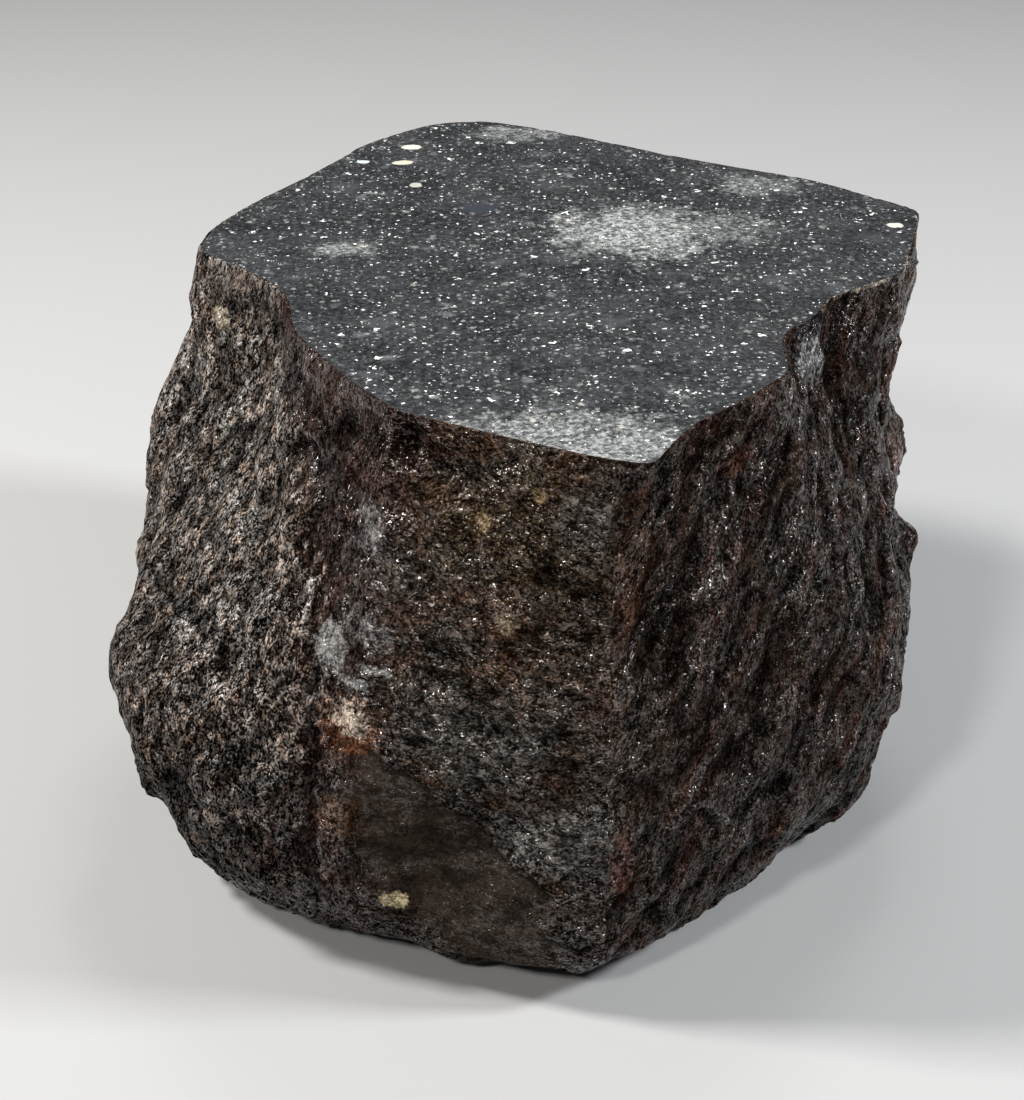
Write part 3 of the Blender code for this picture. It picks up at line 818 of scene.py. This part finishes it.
def spotted(under, spots, looseness, darkest):
    """Adds each named spot to the colour under it, down to darkest times its tint in the pits, as
    painted shade.
    """
    for centre, radii, tint, strong in spots.values():
        spot = placed(tree, mark, Place=place, Centre=centre, Radii=radii, Softness=0.3,
                      Wander=maths(tree, "MULTIPLY", wander, looseness))["Mask"]
        grained = mixed(tree, tone, [v * darkest for v in tint], tint)
        under = mixed(tree, maths(tree, "MULTIPLY", spot, strong), under, grained)
    return under


colour = spotted(colour, MARKS, looseness=1.4, darkest=0.08)
# Painted shade of hollows, folds and patches, multiplied into the colour of the rind and its
# marks.
colour = mixed(tree, 1.0, colour, mixed(tree, painted_shade, (0, 0, 0), (1, 1, 1)), blend="MULTIPLY")
colour = spotted(colour, SINGLE_GRAINS_AND_PAINTED_GLINTS, looseness=0.9, darkest=0.14)
tree.links.new(colour, shader.inputs["Base Color"])
print("marks on the rind:", len(MARKS) + len(SINGLE_GRAINS_AND_PAINTED_GLINTS))

# %% [markdown]
# ## Gloss and fine relief of the rind
# The varnish shines where it is raised and out of the painted shade, and more in some patches
# than in others, so the shine is made of the masks that made the colour. Relief finer than a
# millimetre would need millions of triangles, so it is a bump that only shades the surface.

# %% Gloss and fine relief of the rind
RIND_IOR = 1.75
VARNISH_ROUGHNESS, GLOSSY_SMOOTHER, GREY_ROUGHER = 0.28, -0.13, 0.22
VARNISH_RELIEF, RECESS_RELIEF = 0.55, -0.7

shine = maths(tree, "MULTIPLY", painted_shade, maths(tree, "POWER", raised, 1.8))
shine = maths(tree, "MULTIPLY", shine, maths(tree, "MULTIPLY_ADD", glossy, 0.82, 0.18))
shine = maths(tree, "MULTIPLY", shine, maths(tree, "MULTIPLY_ADD", recess, -0.6, 1.0))
tree.links.new(shine, shader.inputs["Specular IOR Level"])
rough = maths(tree, "MULTIPLY_ADD", grey_side, GREY_ROUGHER, maths(
    tree, "MULTIPLY_ADD", glossy, GLOSSY_SMOOTHER, VARNISH_ROUGHNESS))
tree.links.new(rough, shader.inputs["Roughness"])
shader.inputs["IOR"].default_value = RIND_IOR
strength = maths(tree, "MULTIPLY_ADD", recess, RECESS_RELIEF, maths(
    tree, "MULTIPLY_ADD", maths(tree, "MAXIMUM", right, front), VARNISH_RELIEF, 1.0))
relief_height = summed(tree, (chips["Height"], 1.2), (grit, 0.10), (scales, 0.32),
                       (folds, -0.16))
bump = add(tree, "ShaderNodeBump", {"Height": maths(tree, "MULTIPLY", relief_height, strength),
                                    "Strength": 1.0, "Distance": MM})
tree.links.new(bump.outputs["Normal"], shader.inputs["Normal"])
print("rind:", len(tree.nodes), "nodes")

# %% [markdown]
# ## Cutting the relief
# The modifier gets its materials by each socket's identifier. Its result is then made
# a plain mesh, because the export and the frame want a finished one.

# %% Finished stone
def set_inputs(modifier, values):
    """Sets a modifier's inputs by the names in its tree."""
    for item in modifier.node_group.interface.items_tree:
        if item.item_type == "SOCKET" and item.in_out == "INPUT" and item.name in values:
            modifier[item.identifier] = values[item.name]


cutting = stone.modifiers.new("relief", "NODES")
cutting.node_group = relief
set_inputs(cutting, {"Rind": rind, "Sawn face": sawn_face})
finished = bpy.data.meshes.new_from_object(
    stone.evaluated_get(bpy.context.evaluated_depsgraph_get()))
finished.name = "stone"
stone.modifiers.clear()
stone.data = finished
print("cut stone:", len(finished.vertices), "points")

# %% [markdown]
# ## The points as rows of numbers
# The last steps look at all the points together, which is quick when they are rows of numbers
# instead of a tree of nodes. These helpers read and write one number for each point, smooth a
# copy of the points, and fade softly between two limits or along a wavy line.

# %% Points of the finished mesh
def read(name):
    """One number for each point of the finished mesh."""
    values = np.zeros(len(finished.vertices), np.float32)
    finished.attributes[name].data.foreach_get("value", values)
    return values


def vectors_of(kind):
    """The points or their normals as rows."""
    rows = np.zeros(len(finished.vertices) * 3)
    finished.vertices.foreach_get(kind, rows)
    return rows.reshape(-1, 3)


points, normals = vectors_of("co") / MM, vectors_of("normal")
pairs = np.zeros(len(finished.edges) * 2, np.int32)
finished.edges.foreach_get("vertices", pairs)
pairs = pairs.reshape(-1, 2)
touching = np.bincount(pairs.ravel(), minlength=len(points))[:, None]


def smoothed(values, passes):
    """Each point moved to the middle of its neighbours, several times over."""
    for _ in range(passes):
        total = np.zeros_like(values)
        for column in range(values.shape[1]):
            total[:, column] = (
                np.bincount(pairs[:, 0], values[pairs[:, 1], column], len(values))
                + np.bincount(pairs[:, 1], values[pairs[:, 0], column], len(values)))
        values = total / touching
    return values


def write(name, values):
    """Writes one number for each point on the finished mesh."""
    layer = finished.attributes.get(name) or finished.attributes.new(name, "FLOAT", "POINT")
    layer.data.foreach_set("value", np.asarray(values, np.float32))


def soft(value):
    """0 below 0, 1 above 1, and an easy curve between."""
    t = np.clip(value, 0, 1)
    return t * t * (3 - 2 * t)


def between(values, start, end, blend):
    """1 where values lie from start to end, fading out over blend."""
    return soft((values - start) / blend + 0.5) * soft((end - values) / blend + 0.5)


def wavy(values, waves):
    """The sum of a few waves along values, each with its height, its pace and its start."""
    return sum(height * np.sin(values * pace + start) for height, pace, start in waves)


print("points:", len(points), "edges:", len(pairs))

# %% [markdown]
# ## Broken places that can be named
# The largest single breaks are cut after the relief: a flake that left a smooth recess low on
# the front, with a step along its upper edge, a hollow under the sawn edge, and some knobs.

# %% Named breaks
RECESS_EDGE = Vector((-28.0, 53.0)), Vector((-5.0, 34.0))  # x and height of its upper edge
RECESS_DEPTH, RECESS_DROP, RECESS_FADE = 1.1, 30.0, 12.0
RECESS_SIDES, SIDE_FADE = (-34, 4), 8  # x of its left and right end
FRONT_ONLY = -60  # the recess is cut in front of this y
STEP_WIDTH, SMOOTH_PASSES, SMOOTH_SHARE = 1.2, 4, 0.8
STEP_WAVES = ((0.8, 0.45, 0.0), (0.4, 1.3, 1.0))
SIDE_WAVES = ((1.6, 0.37, 0.0), (0.7, 1.1, 0.0))
FLAT_KEPT = 2.0  # the breaks fade out over this much under the sawn face and above the foot
BOWL = 1.2  # above 1 a hollow has a flat bottom
HOLLOWS = {  # centre, radius and depth, a negative depth being a knob
    "hollow under the rim": ((-21, -70, 107), 4.5, 1.3),
    "pit beside the notch": ((58, -26, 106), 4.0, 1.8),
    "pit under the block": ((70, -20, 92), 5.0, 1.6),
    "knob on the left of the foot": ((-7, -91, 23), 5.0, -0.9),
    "knob on the right of the foot": ((6, -95, 22), 4.0, -0.4),
    "dark step low on the left": ((-68, -66, 30), 7.0, 1.5),
    "pebble": ((-61.7, -3.0, 101.2), 2.4, -0.8),
    "bite above the right knob": ((77, -12, 64), 7.0, 2.4),
    "right knob": ((80.5, -9.0, 54), 6.5, -1.8),
    "flat below the right knob": ((78, -34, 40), 11.0, 1.6),
    "left bulge": ((-82, -37, 43), 10.0, -1.0),
}

first, last = RECESS_EDGE
run = (last - first).normalized()
across, up_from = points[:, 0] - first.x, points[:, 2] - first.y
distance = across * run.x + up_from * run.y
above = across * -run.y + up_from * run.x
above += wavy(distance, STEP_WAVES)
sideways = points[:, 0] + wavy(points[:, 2], SIDE_WAVES)
recess = soft(-above / STEP_WIDTH) * soft((above + RECESS_DROP) / RECESS_FADE)
recess *= between(sideways, *RECESS_SIDES, SIDE_FADE) * (points[:, 1] < FRONT_ONLY)
level = smoothed(points, SMOOTH_PASSES)
points += (level - points) * SMOOTH_SHARE * recess[:, None]
movable = soft((FACE_Z / MM - points[:, 2]) / FLAT_KEPT) * soft(points[:, 2] / FLAT_KEPT)
push = RECESS_DEPTH * recess * soft((above + RECESS_DROP) / RECESS_DROP)
for centre, radius, depth in HOLLOWS.values():
    far = np.linalg.norm(points - centre, axis=1) / radius
    push = push + depth * soft(BOWL * (1 - far))
points -= normals * (push * movable)[:, None]
points = np.clip(points, np.array(cad_box[0]) / MM, np.array(cad_box[1]) / MM)
finished.vertices.foreach_set("co", (points * MM).ravel())
finished.update()
write("recess", recess)
print("named breaks:", 1 + len(HOLLOWS), "deepest, mm:", round(float(push.max()), 2))

# %% [markdown]
# ## Hollows and borders
# Painted shade darkens the hollows, so edges stay paler. How far a point lies below its
# neighbours is measured by smoothing a copy of the points and comparing, over about 2 mm
# for the grain and over about 6 mm for the larger dips. The grey of the left side ends along a
# slanting line, further round the stone near the foot than near the sawn face.

# %% Hollows and borders
FINE_PASSES, DEEP_PASSES = 3, 30
GREY_ENDS = ((0, 238), (20, 238), (57, 239), (74, 236), (85, 231), (96, 224), (106, 200),
             (112, 190))  # height in mm, and the direction in degrees where the grey ends
GREY_STARTS, GREY_FADE = 150, 5
GREY_WAVES = ((1.8, 0.33, 0.0), (0.9, 0.9, 2.0))
STRIP_ENDS, STRIP_FADE = 250, 6
RAGGED_FINE, RAGGED_DEEP, FINE_GAIN = 4.5, 2.5, 6  # degrees by which hollows bend the borders

normals = vectors_of("normal")
fine_level = smoothed(points, FINE_PASSES)
write("hollow", ((fine_level - points) * normals).sum(1))
write("deep_hollow", ((smoothed(fine_level, DEEP_PASSES) - points) * normals).sum(1))
around = np.degrees(np.arctan2(points[:, 1] - AXIS.y / MM, points[:, 0] - AXIS.x / MM)) % 360
ragged = (RAGGED_FINE * np.clip(read("hollow") * FINE_GAIN, -1, 1)
          + RAGGED_DEEP * np.clip(read("deep_hollow"), -1, 1))
grey_ends = np.interp(points[:, 2], *zip(*GREY_ENDS)) - ragged + wavy(points[:, 2], GREY_WAVES)
write("grey_side", between(around, GREY_STARTS, grey_ends, GREY_FADE))
write("strip", between(around, grey_ends, STRIP_ENDS - ragged, STRIP_FADE))
for name in ("hollow", "deep_hollow"):
    print(name, "mm:", np.percentile(read(name), (2, 25, 50, 75, 98)).round(2))

# %% [markdown]
# ## Sharp edges
# Every face is shaded smooth, and the edges between the sawn face with its chipped band and the
# broken sides are marked sharp, so that the flat face doesn't shade as if it curved.

# %% Sharp edges
parts_of = np.zeros(len(finished.polygons), np.int32)
finished.attributes["part"].data.foreach_get("value", parts_of)
sawn_or_band = np.isin(parts_of, (SAWN, BAND))
loop_edges = np.zeros(len(finished.loops), np.int32)
finished.loops.foreach_get("edge_index", loop_edges)
loop_totals = np.zeros(len(finished.polygons), np.int32)
finished.polygons.foreach_get("loop_total", loop_totals)
of_face = np.repeat(sawn_or_band, loop_totals)
touch_top = np.bincount(loop_edges[of_face], minlength=len(finished.edges))
touch_side = np.bincount(loop_edges[~of_face], minlength=len(finished.edges))
finished.polygons.foreach_set("use_smooth", np.ones(len(finished.polygons), bool))
finished.edges.foreach_set("use_edge_sharp", (touch_top > 0) & (touch_side > 0))
finished.update()
triangles = int((loop_totals - 2).sum())
print("finished stone:", triangles, "triangles;", "materials:",
      [m.name for m in finished.materials if m])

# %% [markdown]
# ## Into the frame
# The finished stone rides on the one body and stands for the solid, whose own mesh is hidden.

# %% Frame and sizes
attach(stone, "root")
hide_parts(NODE)
